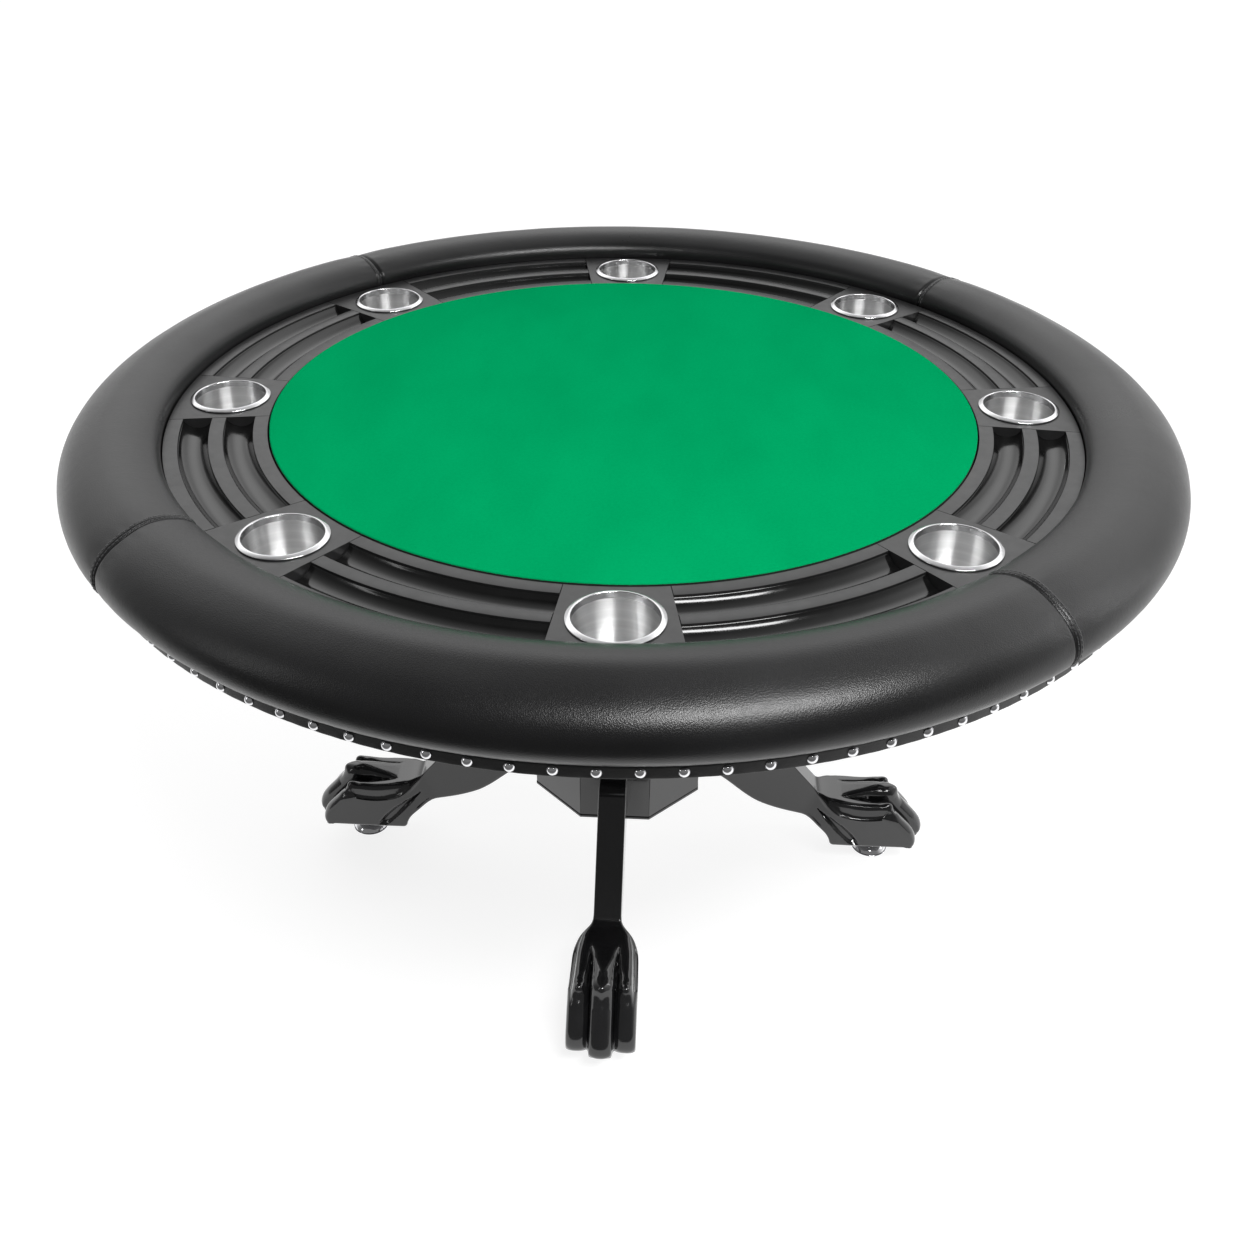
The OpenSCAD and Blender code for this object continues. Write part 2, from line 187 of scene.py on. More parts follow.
def bezier_chain(curves, steps):
    """Points along cubic curves end to end, as an array; the last point is kept."""
    points = []
    for c in curves:
        p = np.array(c, float)
        for t in np.arange(steps) / steps:
            u = 1 - t
            points.append(u**3 * p[0] + 3 * t * u**2 * p[1] + 3 * t * t * u * p[2] + t**3 * p[3])
    points.append(np.array(curves[-1][3], float))
    return np.array(points)


def along(points, count=None, at=None):
    """Points spread along a polyline by length: count even ones, or those at the given shares of it."""
    points = np.asarray(points, float)
    run = np.concatenate([[0], np.cumsum(np.linalg.norm(np.diff(points, axis=0), axis=1))])
    where = np.linspace(0, 1, count) if at is None else np.asarray(at)
    return np.stack([np.interp(where * run[-1], run, points[:, k]) for k in range(points.shape[1])], axis=1)


def normals(line):
    """Unit normals on the left of a line of points."""
    slope = np.gradient(line, axis=0)
    left = np.stack([-slope[:, 1], slope[:, 0]], axis=1)
    return left / np.linalg.norm(left, axis=1)[:, None]


def smoothstep(low, high, x):
    t = np.clip((np.asarray(x, float) - low) / (high - low), 0, 1)
    return t * t * (3 - 2 * t)


# ==== Materials ====
class Nodes:
    """A node tree under construction."""

    def __init__(self, tree):
        self.tree = tree

    def node(self, kind, **values):
        node = self.tree.nodes.new(kind)
        for key, value in values.items():
            setattr(node, key, value)
        return node

    def link(self, a, b):
        self.tree.links.new(a, b)

    def feed(self, value, socket):
        """Sets a number or a colour on a socket, or links another node's output to it."""
        if isinstance(value, (int, float)):
            socket.default_value = value
        elif isinstance(value, tuple):
            socket.default_value = (*value, 1)
        else:
            self.link(value, socket)

    def ramp(self, value, low, high, out_low=0.0, out_high=1.0, kind="LINEAR"):
        """One range carried over to another, clamped."""
        node = self.node("ShaderNodeMapRange", interpolation_type=kind)
        for key, number in (("From Min", low), ("From Max", high), ("To Min", out_low), ("To Max", out_high)):
            node.inputs[key].default_value = number
        self.link(value, node.inputs["Value"])
        return node.outputs["Result"]

    def split(self, vector):
        node = self.node("ShaderNodeSeparateXYZ")
        self.link(vector, node.inputs["Vector"])
        return tuple(node.outputs)

    def math(self, kind, a, b):
        node = self.node("ShaderNodeMath", operation=kind)
        self.feed(a, node.inputs[0])
        self.feed(b, node.inputs[1])
        return node.outputs["Value"]


class Surface(Nodes):
    """A Principled material under construction: constants go on the shader, detail comes from nodes."""

    def __init__(self, name, color, roughness, metallic=0.0, **sockets):
        self.material = bpy.data.materials.new(name)
        self.material.use_nodes = True
        super().__init__(self.material.node_tree)
        self.shader = self.tree.nodes["Principled BSDF"]
        self.shader.inputs["Base Color"].default_value = (*color, 1)
        self.shader.inputs["Roughness"].default_value = roughness
        self.shader.inputs["Metallic"].default_value = metallic
        for socket, value in sockets.items():
            self.shader.inputs[socket.replace("_", " ")].default_value = value
        self.where = self.node("ShaderNodeTexCoord").outputs["Object"]
        self.height = None

    def stretched(self, scale):
        """The object's coordinates, scaled along each axis."""
        node = self.node("ShaderNodeMapping")
        node.inputs["Scale"].default_value = scale
        self.link(self.where, node.inputs["Vector"])
        return node.outputs["Vector"]

    def noise(self, size, detail=3.0, rough=0.5, where=None):
        """Noise whose lumps are about size metres across."""
        node = self.node("ShaderNodeTexNoise")
        node.inputs["Scale"].default_value = 1 / size
        node.inputs["Detail"].default_value = detail
        node.inputs["Roughness"].default_value = rough
        self.link(where or self.where, node.inputs["Vector"])
        return node.outputs["Fac"]

    def cells(self, size, feature="F1"):
        """Distance in cells about size metres across."""
        node = self.node("ShaderNodeTexVoronoi", feature=feature)
        node.inputs["Scale"].default_value = 1 / size
        self.link(self.where, node.inputs["Vector"])
        return node.outputs["Distance"]

    def mix(self, factor, low, high):
        """Two colours mixed by a factor."""
        node = self.node("ShaderNodeMix", data_type="RGBA")
        for value, key in ((factor, 0), (low, 6), (high, 7)):
            self.feed(value, node.inputs[key])
        return node.outputs[2]

    def colour(self, socket):
        self.link(socket, self.shader.inputs["Base Color"])

    def tint(self, value, low, high, dark, light):
        """Colours the surface from dark to light as a value goes from low to high."""
        self.colour(self.mix(self.ramp(value, low, high), dark, light))

    def roughness(self, socket):
        self.link(socket, self.shader.inputs["Roughness"])

    def bump(self, height, distance, strength=1.0):
        """Adds a bump of the given depth in metres; several are chained."""
        node = self.node("ShaderNodeBump")
        node.inputs["Strength"].default_value = strength
        node.inputs["Distance"].default_value = distance
        self.link(height, node.inputs["Height"])
        if self.height is not None:
            self.link(self.height, node.inputs["Normal"])
        self.height = node.outputs["Normal"]
        self.link(self.height, self.shader.inputs["Normal"])


def scaled(color, factor):
    """The colour made lighter or darker, at most white."""
    return tuple(min(1, c * factor) for c in color)


def vinyl(name, color, roughness, grain=1.0):
    """Black vinyl: fine pebble grain, softer creases, and slow changes in colour and gloss."""
    s = Surface(name, color, roughness, Specular_IOR_Level=0.41)
    slow = s.noise(0.16, 2.0)
    fine = s.noise(0.004, 2.0)
    s.tint(slow, 0.3, 0.7, scaled(color, 0.75), scaled(color, 1.45))
    broad = s.ramp(slow, 0.3, 0.7, roughness - 0.04, roughness + 0.04)
    s.roughness(s.math("ADD", broad, s.ramp(fine, 0, 1, -0.05, 0.05)))
    s.bump(s.cells(0.0015, "F1"), 0.0002 * grain, 0.55)
    s.bump(s.noise(0.0009, 3.0, 0.6), 0.00012 * grain, 0.5)
    s.bump(s.noise(0.03, 2.0), 0.0009, 0.25)
    return s.material


def felt():
    """Green felt: short matted fibres, a nap that catches the light in slow patches."""
    green = (0.0003, 0.265, 0.088)
    s = Surface("green_felt", green, 0.95, Specular_IOR_Level=0.0, Sheen_Weight=0.03,
                Sheen_Roughness=0.5, Sheen_Tint=(0.0, 1.0, 0.45, 1))
    nap = s.noise(0.11, 3.0, 0.55, s.stretched((1, 0.45, 1)))
    clump = s.noise(0.0035, 4.0, 0.6)
    base = s.mix(s.ramp(nap, 0.32, 0.68), (0.0002, 0.245, 0.08), (0.0004, 0.285, 0.095))
    dark = s.mix(s.ramp(clump, 0.25, 0.75), (0.0001, 0.21, 0.068), (0.0006, 0.315, 0.108))
    s.colour(s.mix(0.3, base, dark))
    s.bump(clump, 0.0007, 0.35)
    s.bump(s.noise(0.0009, 3.0, 0.7), 0.0004, 0.45)
    return s.material


def satin_board(name, color, roughness):
    """Satin black finish on board: a faint texture and uneven gloss. Also gives the near-black painted shade
    on the felt's side and in the rack slots.
    """
    s = Surface(name, color, roughness, Specular_IOR_Level=0.5)
    slow = s.noise(0.05, 3.0)
    s.tint(slow, 0.3, 0.7, scaled(color, 0.85), scaled(color, 1.2))
    s.roughness(s.ramp(s.noise(0.012, 4.0, 0.6), 0.25, 0.75, roughness - 0.05, roughness + 0.06))
    s.bump(s.noise(0.0011, 3.0, 0.6), 0.00006, 0.5)
    return s.material


def gloss_black(name, color, roughness, peel, coat=0.6, level=0.5):
    """Gloss black: orange peel under a clear coat, with faint handling haze."""
    s = Surface(name, color, roughness, Specular_IOR_Level=level, Coat_Weight=coat, Coat_Roughness=0.03)
    haze = s.noise(0.035, 4.0, 0.6)
    s.tint(haze, 0.35, 0.75, color, scaled(color, 1.35))
    s.roughness(s.ramp(haze, 0.3, 0.8, roughness - 0.03, roughness + 0.06))
    s.bump(s.noise(0.009, 2.0), peel, 0.4)
    return s.material


def brushed_steel(name, shade, roughness):
    """Steel brushed round the piece's own upright axis."""
    color = (shade, shade, shade * 1.01)
    s = Surface(name, color, roughness, 1.0, Anisotropic=1.0, Anisotropic_Rotation=0.25)
    x, y, z = s.split(s.where)
    squares = s.math("ADD", s.math("MULTIPLY", x, x), s.math("MULTIPLY", y, y))
    ring = s.node("ShaderNodeCombineXYZ")
    s.link(s.math("SQRT", squares, 0.0), ring.inputs["X"])
    s.link(z, ring.inputs["Y"])
    lines = s.noise(0.00045, 3.0, 0.65, ring.outputs["Vector"])
    broad = s.noise(0.006, 3.0, 0.5, ring.outputs["Vector"])
    smear = s.noise(0.02, 3.0)
    s.roughness(s.math("ADD", s.ramp(lines, 0.25, 0.75, roughness - 0.05, roughness + 0.05),
                       s.ramp(smear, 0.3, 0.7, -0.01, 0.015)))
    s.tint(broad, 0.3, 0.7, (shade * 0.9,) * 3, (shade * 1.06,) * 3)
    tangent = s.node("ShaderNodeTangent", direction_type="RADIAL", axis="Z")
    s.link(tangent.outputs["Tangent"], s.shader.inputs["Tangent"])
    s.bump(lines, 0.00002, 0.5)
    return s.material


def polished_metal(name, color, roughness):
    """Polished metal with hairline scratches and faint smears."""
    s = Surface(name, color, roughness, 1.0)
    scratches = s.noise(0.0012, 2.0, 0.6, s.stretched((1, 1, 9)))
    smear = s.noise(0.007, 3.0)
    s.roughness(s.math("ADD", s.ramp(smear, 0.3, 0.75, roughness * 0.7, roughness * 1.5),
                       s.ramp(scratches, 0.62, 0.75, 0.0, 0.05)))
    s.tint(smear, 0.3, 0.7, scaled(color, 0.95), scaled(color, 1.03))
    s.bump(scratches, 0.000006, 0.4)
    return s.material


def raw_wood():
    """Plywood: long grain lines over slow changes in tone."""
    s = Surface("raw_wood", (0.5, 0.35, 0.2), 0.7)
    grain = s.noise(0.012, 5.0, 0.6, s.stretched((1, 9, 9)))
    s.tint(grain, 0.3, 0.7, (0.42, 0.27, 0.14), (0.6, 0.44, 0.27))
    s.bump(grain, 0.0003, 0.5)
    return s.material


def open_foam():
    """Open-cell foam."""
    s = Surface("foam", (0.8, 0.77, 0.62), 0.95)
    cells = s.cells(0.0018)
    s.tint(cells, 0.1, 0.7, (0.55, 0.52, 0.38), (0.84, 0.81, 0.68))
    s.bump(cells, 0.0006, 0.7)
    return s.material


def thread():
    """Twisted black polyester thread."""
    s = Surface("black_thread", (0.02, 0.02, 0.021), 0.5, Sheen_Weight=0.3)
    twist = s.noise(0.0004, 2.0, 0.5, s.stretched((1, 1, 2)))
    s.tint(twist, 0.3, 0.7, (0.012, 0.012, 0.013), (0.034, 0.034, 0.036))
    s.bump(twist, 0.0001, 0.6)
    return s.material


RAIL_VINYL = vinyl("rail_vinyl", (0.006, 0.006, 0.0063), 0.32)
BAND_VINYL = vinyl("band_vinyl", (0.006, 0.006, 0.0062), 0.4, 0.6)
FELT = felt()
PAINTED_FELT_SHADE = satin_board("felt_side_shadow", (0.002, 0.006, 0.004), 0.9)
TRACK = satin_board("track_satin", (0.015, 0.015, 0.0153), 0.35)
SLOT_SHADE = satin_board("slot_painted_shade", (0.006, 0.006, 0.006), 0.45)
TROUGH = gloss_black("trough_gloss", (0.004, 0.004, 0.004), 0.13, 0.00008, 0.1, 0.34)
LACQUER = gloss_black("black_lacquer", (0.007, 0.007, 0.0075), 0.14, 0.00016)
BOARD = satin_board("black_board", (0.014, 0.014, 0.015), 0.55)
CUP_STEEL = brushed_steel("cup_brushed", 0.76, 0.32)
RIM_STEEL = polished_metal("cup_rim_polished", (0.68, 0.68, 0.69), 0.17)
CHROME = polished_metal("chrome", (0.86, 0.86, 0.88), 0.06)
ZINC = polished_metal("zinc_steel", (0.6, 0.6, 0.63), 0.32)
BRASS = polished_metal("insert_brass", (0.75, 0.57, 0.28), 0.3)
WOOD = raw_wood()
FOAM = open_foam()
THREAD = thread()


def finish(node, material):
    """Gives a CAD node that stays its material."""
    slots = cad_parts[node].data.materials
    slots.clear()
    slots.append(material)


# ==== Padded rail: four sewn panels over foam, each a closed loft along the rail's section ====
RISE = (RAIL_TOP_Z - TRACK_Z) / MM
RAIL_EDGE = RAIL_R / MM
RAIL_CURVES = [
    [(577.8, 0), (576.2, 8), (577.8, 17), (587, 22.8)],
    [(587, 22.8), (600, 31.2), (622, RISE + 4.6), (645, 31.5)],
    [(645, 31.5), (668.5, 23.7), (RAIL_EDGE, 8), (RAIL_EDGE, -20)],
    [(RAIL_EDGE, -20), (RAIL_EDGE, -32), (689.5, -41.5), (679, -47)],
]
RAIL_FOOT = (577.8, -30)
RAIL_TUCK = (657, -47.2)
COVER_T = 3.6
GROOVE_DEPTH = 2.6
GROOVE_HALF = 2.6
LAP_W = 8.0
LAP_RISE = 0.7
STITCH_ROWS = (2.4, 7.0)
STITCH_PITCH = 5.4
STITCH_LENGTH = 3.7
STITCH_R = 0.55
# Panels 1 and 3 carry the folded, topstitched laps, so a seam's lap lies on their side of it.
LAP_SIDES = {0: 1, 1: -1, 2: 1, 3: -1}

section = np.vstack([[RAIL_FOOT], bezier_chain(RAIL_CURVES, 40), [RAIL_TUCK]])
section = along(section, 96)
section_out = normals(section)
section_run = np.concatenate([[0], np.cumsum(np.linalg.norm(np.diff(section, axis=0), axis=1))])
wave_phase = rng.uniform(0, TURN, (3, 24))
wave_count = rng.integers(5, 60, 24)
pull_phase = rng.uniform(0, TURN, 12)
pull_count = rng.integers(70, 190, 12)


def seam_offset(azimuth, radius):
    """Signed distance in mm to the nearest seam, and that seam's number."""
    gaps = [(azimuth - seam + pi) % TURN - pi for seam in SEAMS[:4]]
    nearest = min(range(4), key=lambda i: abs(gaps[i]))
    return gaps[nearest] * radius, nearest


def rail_offset(azimuth, i):
    """How far in mm the cover stands off the plain section: seams, laps, soft waves and pulls."""
    x, seam = seam_offset(azimuth, section[i, 0])
    share = section_run[i] / section_run[-1]
    depth = -GROOVE_DEPTH * exp(-((x / GROOVE_HALF) ** 2))
    lap = x * LAP_SIDES[seam]
    depth += LAP_RISE * float(smoothstep(0.6, 2.0, lap) * (1 - smoothstep(LAP_W - 0.5, LAP_W + 0.6, lap)))
    for row in STITCH_ROWS:
        depth -= 0.45 * exp(-(((lap - row) / 0.8) ** 2))
    depth -= 1.3 * exp(-((x / 26) ** 2)) * sin(pi * min(max(share, 0), 1))
    pucker = exp(-((abs(x) - 12) / 9) ** 2)
    depth += 0.16 * pucker * sin(section_run[i] * TURN / 17 + seam)
    wave = sum(cos(n * azimuth + wave_phase[0, k]) * cos(3 * share + wave_phase[1, k]) / (4 + n * 0.5)
               for k, n in enumerate(wave_count))
    depth += 0.55 * wave
    pull = float(smoothstep(0.7, 0.98, share) + smoothstep(0.16, 0.02, share))
    depth += 0.11 * pull * sum(cos(n * azimuth + pull_phase[k]) for k, n in enumerate(pull_count)) / 2
    return depth


def rail_point(azimuth, i, lift=0.0):
    r, z = section[i] + section_out[i] * (rail_offset(azimuth, i) + lift)
    return Vector(polar(r * MM, azimuth, TRACK_Z + z * MM))


def rail_stations(start, end):
    """Azimuths along one panel, close together at its seams."""
    near = [0, 0.7, 1.4, 2, 2.6, 3.2, 4, 5, 6, 6.6, 7.2, 7.8, 8.4, 9, 10, 12, 14, 17, 20, 24, 29, 35, 42, 50]
    edge = [start + 0.12 / 640 + x / 640 for x in near]
    far = [start + end - a for a in reversed(edge)]
    middle = np.linspace(edge[-1], far[0], 118)[1:-1]
    return [*edge, *middle, *far]


def rail_panel(k):
    stations = rail_stations(SEAMS[k - 1], SEAMS[k])
    inner = section[::-4] - section_out[::-4] * COVER_T
    points = []
    for azimuth in stations:
        points += [rail_point(azimuth, i) for i in range(len(section))]
        points += [polar(r * MM, azimuth, TRACK_Z + z * MM) for r, z in inner]
    loop = len(section) + len(inner)
    faces = grid_faces(len(stations), loop, False, True)
    # Each end is closed with a strip from the outer face to the inner one.
    for end in (0, len(stations) - 1):
        base = end * loop
        ring = [base + j for j in range(loop)]
        left, right = 0, loop - 1
        while right - left > 1:
            if left < len(section) - 1 and (left + 1) / len(section) <= (loop - right) / len(inner):
                faces.append((ring[left], ring[left + 1], ring[right]))
                left += 1
            else:
                faces.append((ring[left], ring[right - 1], ring[right]))
                right -= 1
    piece = new_piece(f"rail_panel_{k}", (points, faces), RAIL_VINYL, sharp_deg=60)
    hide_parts(f"rail_cover_{k}")


def capsule(start, end, radius, sides=8):
    """A short thread from start to end with rounded ends, as points and faces."""
    axis = (end - start).normalized()
    side = axis.orthogonal().normalized()
    up = axis.cross(side)
    rings = [(-0.5, 0.35), (-0.2, 0.8), (0.3, 1.0), (0.5, 1.06), (0.7, 1.0), (1.2, 0.8), (1.5, 0.35)]
    length = (end - start).length
    points = []
    for place, width in rings:
        if place <= 0:
            centre = start + axis * (place * radius)
        elif place >= 1:
            centre = end + axis * ((place - 1) * radius)
        else:
            centre = start + axis * (place * length)
        for a in around(sides):
            points.append(tuple(centre + (side * cos(a) + up * sin(a)) * radius * width))
    return points, tube_faces(len(rings), sides)


def seam_stitching(seam):
    """Two rows of topstitches beside one seam."""
    parts = []
    run_end = section_run[-1] - 12
    for row in STITCH_ROWS:
        run = 34.0 + (row % 2)
        while run < run_end:
            ends = []
            for step in (0, STITCH_LENGTH):
                i = int(np.searchsorted(section_run, run + step))
                share = (run + step - section_run[i - 1]) / (section_run[i] - section_run[i - 1])
                places = []
                for at in (i - 1, i):
                    azimuth = SEAMS[seam] + LAP_SIDES[seam] * row / section[at, 0]
                    places.append(rail_point(azimuth, at, 0.25))
                ends.append(places[0].lerp(places[1], share))
            parts.append(capsule(ends[0], ends[1], STITCH_R * MM))
            run += STITCH_PITCH
    piece = new_piece(f"rail_stitching_{seam + 1}", merged(parts), THREAD, sharp_deg=80)


def rail_foam():
    """The foam blocks, well inside the cover."""
    inset = 6.5
    block = TURN / 32
    shell = section[2:-3:3] - section_out[2:-3:3] * inset
    (_, _, core_low), (core_r, _, core_high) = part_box("rail_core")
    low, high = core_low - TRACK_Z, core_high - TRACK_Z
    core_r += 0.3 * MM
    profile = [(r * MM, TRACK_Z + z * MM) for r, z in shell if z * MM > low + 4 * MM or r > 660]
    above = TRACK_Z + high + 0.3 * MM
    foam_in = 584.8 * MM
    profile += [(core_r, TRACK_Z + low + 3 * MM), (core_r, above)]
    profile += [(foam_in, above), (foam_in, TRACK_Z - 28 * MM)]
    glue = 0.0006
    starts = [SEAMS[0] + k * block for k in range(32)]
    parts = [arc_sweep(profile, start + glue, start + block - glue, 6) for start in starts]
    piece = new_piece("rail_foam_blocks", merged(parts), FOAM)
    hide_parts("rail_foam")


for number in range(1, 5):
    rail_panel(number)
    seam_stitching(number - 1)
rail_foam()


# ==== Wrapped band and its nails ====
def nail_azimuth(k):
    """Driven by hand, so their spacing drifts a little."""
    even = -90.9 + k * 360 / NAIL_COUNT
    return radians(even - 0.55 * sin(radians(2 * (even + 108))))


def band():
    """The vinyl strip round the deck's edge, pressed in a little round each nail."""
    height = BAND_HIGH_Z - BAND_LOW_Z
    inner = BAND_R - 2.0 * MM
    outline = [(inner, BAND_LOW_Z), (BAND_R - 1.2 * MM, BAND_LOW_Z)]
    outline += arc(BAND_R - 1.2 * MM, BAND_LOW_Z + 1.2 * MM, 1.2 * MM, -60, 0, 3)
    outline += [(BAND_R, BAND_LOW_Z + height * f) for f in (0.2, 0.32, 0.44, 0.56, 0.68, 0.8, 0.92)]
    outline += [(BAND_R - 0.4 * MM, BAND_HIGH_Z), (inner, BAND_HIGH_Z)]
    per_nail = 8
    count = NAIL_COUNT * per_nail
    nails = [nail_azimuth(k) for k in range(NAIL_COUNT)]
    points = []
    for a in around(count):
        gap = min(abs((a - n + pi) % TURN - pi) for n in nails) * BAND_R
        for r, z in outline:
            away = hypot(gap, z - NAIL_Z)
            press = 0.0
            if r > inner + 0.5 * MM:
                press = 0.55 * MM * exp(-((away / (6.5 * MM)) ** 2))
                press += 0.12 * MM * (1 + sin(a * 190)) * exp(-((z - BAND_LOW_Z) / (4 * MM)) ** 2)
            points.append(polar(r - press, a, z))
    piece = new_piece("band_wrap", (points, grid_faces(count, len(outline), True, True)), BAND_VINYL)
    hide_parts("rail_band")


def nails():
    """Dome heads with a thin flattened brim, and short shanks."""
    head_h = 3.5 * MM
    ball = (NAIL_R**2 + head_h**2) / (2 * head_h)
    reach = degrees(asin(NAIL_R / ball))
    dome = [(ball * sin(radians(a)), head_h - ball + ball * cos(radians(a)))
            for a in np.linspace(1.5, reach - 2, 9)]
    outline = [*dome, (NAIL_R, 0.25 * MM), (NAIL_R, 0.0), (NAIL_R * 0.86, -0.1 * MM), (0.9 * MM, 0.2 * MM),
               (0.8 * MM, -9 * MM), (0.05 * MM, -11 * MM)]
    sides = 28
    parts = []
    for k in range(NAIL_COUNT):
        a = nail_azimuth(k)
        tilt = 0.03 * sin(k * 2.3)
        out = Vector((cos(a), sin(a), tilt)).normalized()
        side = Vector((-sin(a), cos(a), 0))
        up = out.cross(side)
        root = Vector((cos(a), sin(a), 0)) * (BAND_R + 0.02 * MM)
        root.z = NAIL_Z + 0.35 * MM * sin(k * 1.7)
        points = []
        for b in around(sides):
            away = side * cos(b) + up * sin(b)
            points += [tuple(root + out * h + away * r) for r, h in outline]
        parts.append((points, turned_faces(sides, outline)))
    piece = new_piece("dome_nails", merged(parts), CHROME, sharp_deg=35)
    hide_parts("rail_nails")


band()
nails()


# ==== Playing field ====
CLOTH_T = 1.2 * MM


def cloth():
    """Felt stretched over the padded board: nearly flat, soft at its edge, pulled down the side."""
    edge_r = 2.2 * MM
    rings = list(np.linspace(0.004, CLOTH_R - edge_r, 34))
    top = [(r, 0.0) for r in rings]
    top += arc(CLOTH_R - edge_r, -edge_r, edge_r, 84, 0, 7)
    skirt = CLOTH_Z - CLOTH_BOTTOM_Z
    top += [(CLOTH_R, -z) for z in np.linspace(edge_r + 3 * MM, skirt, 5)]
    under = [(CLOTH_R - CLOTH_T, -skirt), (CLOTH_R - CLOTH_T, -edge_r - 1 * MM),
             (CLOTH_R - edge_r, -CLOTH_T), (0.004, -CLOTH_T)]
    outline = top + under
    sides = 288
    phases = rng.uniform(0, TURN, 10)
    points = []
    for a in around(sides):
        edge_wave = sum(cos((7 + 5 * n) * a + phases[n]) / (2 + n) for n in range(10))
        for j, (r, z) in enumerate(outline):
            inside = float(1 - smoothstep(CLOTH_R * 0.9, CLOTH_R, r))
            swell = 0.22 * MM * inside * cos(5.5 * r / CLOTH_R * pi) * cos(2 * a + 1)
            roll = drop = 0
            if j < len(top):
                roll = 0.18 * MM * edge_wave * float(smoothstep(CLOTH_R * 0.93, CLOTH_R, r))
                drop = -0.3 * MM
            points.append(polar(r - abs(roll), a, CLOTH_Z + z + drop + (swell if j < len(top) - 5 else 0)))
    piece = new_piece("felt_cloth", (points, turned_faces(sides, outline)), FELT, sharp_deg=60)
    # The felt's side below its rounded edge takes a near-black green: painted shadow in the gap against the
    # track.
    piece.data.materials.append(PAINTED_FELT_SHADE)
    for face in piece.data.polygons:
        if face.center.z < CLOTH_Z - 1.5 * MM and face.center.xy.length > CLOTH_R - 3 * MM:
            face.material_index = 1
    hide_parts("playing_cloth")


def foam_underlay():
    """The thin foam under the cloth: a disc with a soft, slightly uneven rim."""
    low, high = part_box("playing_pad")
    edge = high[0]
    top, bottom = high[2], low[2]
    points = []
    radii = [0.004, edge * 0.3, edge * 0.6, edge * 0.9, edge - 2 * MM]
    outline = [(r, top) for r in radii] + [(edge - 0.6 * MM, top - 0.5 * MM)]
    outline += [(edge - 0.2 * MM, (top + bottom) / 2), (edge - 0.6 * MM, bottom)]
    outline += [(r, bottom) for r in reversed(radii)]
    sides = 180
    for a in around(sides):
        give = 0.3 * MM * (1 + sin(31 * a) * sin(17 * a + 1)) / 2
        points += [polar(r - give, a, z) for r, z in outline]
    piece = new_piece("foam_underlay", (points, turned_faces(sides, outline)), FOAM)
    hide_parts("playing_pad")


cloth()
foam_underlay()


# ==== Track: racks with gloss troughs, cup blocks, cups ====
SLOT_FLOOR = 14.2 * MM
LEDGE = 3.0 * MM
TROUGH_END = 0.2 * MM
TROUGH_PIPE_R = 20.4 * MM
TROUGH_WALL = 1.5 * MM
RACK_GAP = 0.0013


def rack(k):
    """One chip rack: three flush strips with slots between them, and a gloss trough in each slot."""
    centre = -pi / 2 + (k - 0.5) * STEP
    half = STEP / 2 - STATION_HALF - RACK_GAP
    bevel = 0.6 * MM
    depth = TRACK_Z - TRACK_BOTTOM_Z
    outline = [(TRACK_IN_R, -depth), (TRACK_IN_R, -bevel), (TRACK_IN_R + bevel, 0)]
    for middle in CHANNEL_R:
        low, high = middle - CHANNEL_HALF, middle + CHANNEL_HALF
        bend = 0.25 * bevel
        outline += [(low - bevel, 0), (low - bend, -bend), (low, -bevel), (low, -SLOT_FLOOR)]
        outline += [(high, -SLOT_FLOOR), (high, -bevel), (high + bend, -bend), (high + bevel, 0)]
    outline += [(TRACK_OUT_R - bevel, 0), (TRACK_OUT_R, -bevel), (TRACK_OUT_R, -depth)]
    outline = [(r, TRACK_Z + z) for r, z in outline]
    strips = arc_sweep(outline, centre - half, centre + half, 36)
    frame_piece = new_piece(f"rack_frame_{k}", strips, TRACK, sharp_deg=25)
    # Faces down the slots, below the strip tops, take a darker black than the strips: painted shade in the
    # slots.
    frame_piece.data.materials.append(SLOT_SHADE)
    for face in frame_piece.data.polygons:
        if face.center.z < TRACK_Z - bevel * 1.5:
            face.material_index = 1
    r_out = CHANNEL_HALF - 0.1 * MM
    lip = 1.1 * MM
    round_r = 0.9 * MM
    reach = degrees(asin((r_out - lip) / TROUGH_PIPE_R))
    centre_z = -LEDGE - round_r + TROUGH_PIPE_R * cos(radians(reach))
    outer_r = TROUGH_PIPE_R + TROUGH_WALL
    reach_out = degrees(asin((r_out - 0.3 * MM) / outer_r))
    brim = [(r_out, -LEDGE - 2.4 * MM), (r_out, -LEDGE - 0.1 * MM), (r_out - 0.35 * MM, -LEDGE),
            (r_out - 0.7 * MM, -LEDGE - 0.3 * MM)]
    parts = []
    for middle in CHANNEL_R:
        profile = [(middle - r, z) for r, z in brim]
        profile += arc(middle, centre_z, TROUGH_PIPE_R, -90 - reach, -90 + reach, 24)
        profile += [(middle + r, z) for r, z in reversed(brim)]
        profile += arc(middle, centre_z, outer_r, -90 + reach_out, -90 - reach_out, 16)
        profile = [(r, TRACK_Z + z) for r, z in profile]
        short = TROUGH_END / middle
        parts.append(arc_sweep(profile, centre - half + short, centre + half - short, 36))
    trough = new_piece(f"chip_troughs_{k}", merged(parts), TROUGH, sharp_deg=35)
    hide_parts(f"chip_rack_{k}")


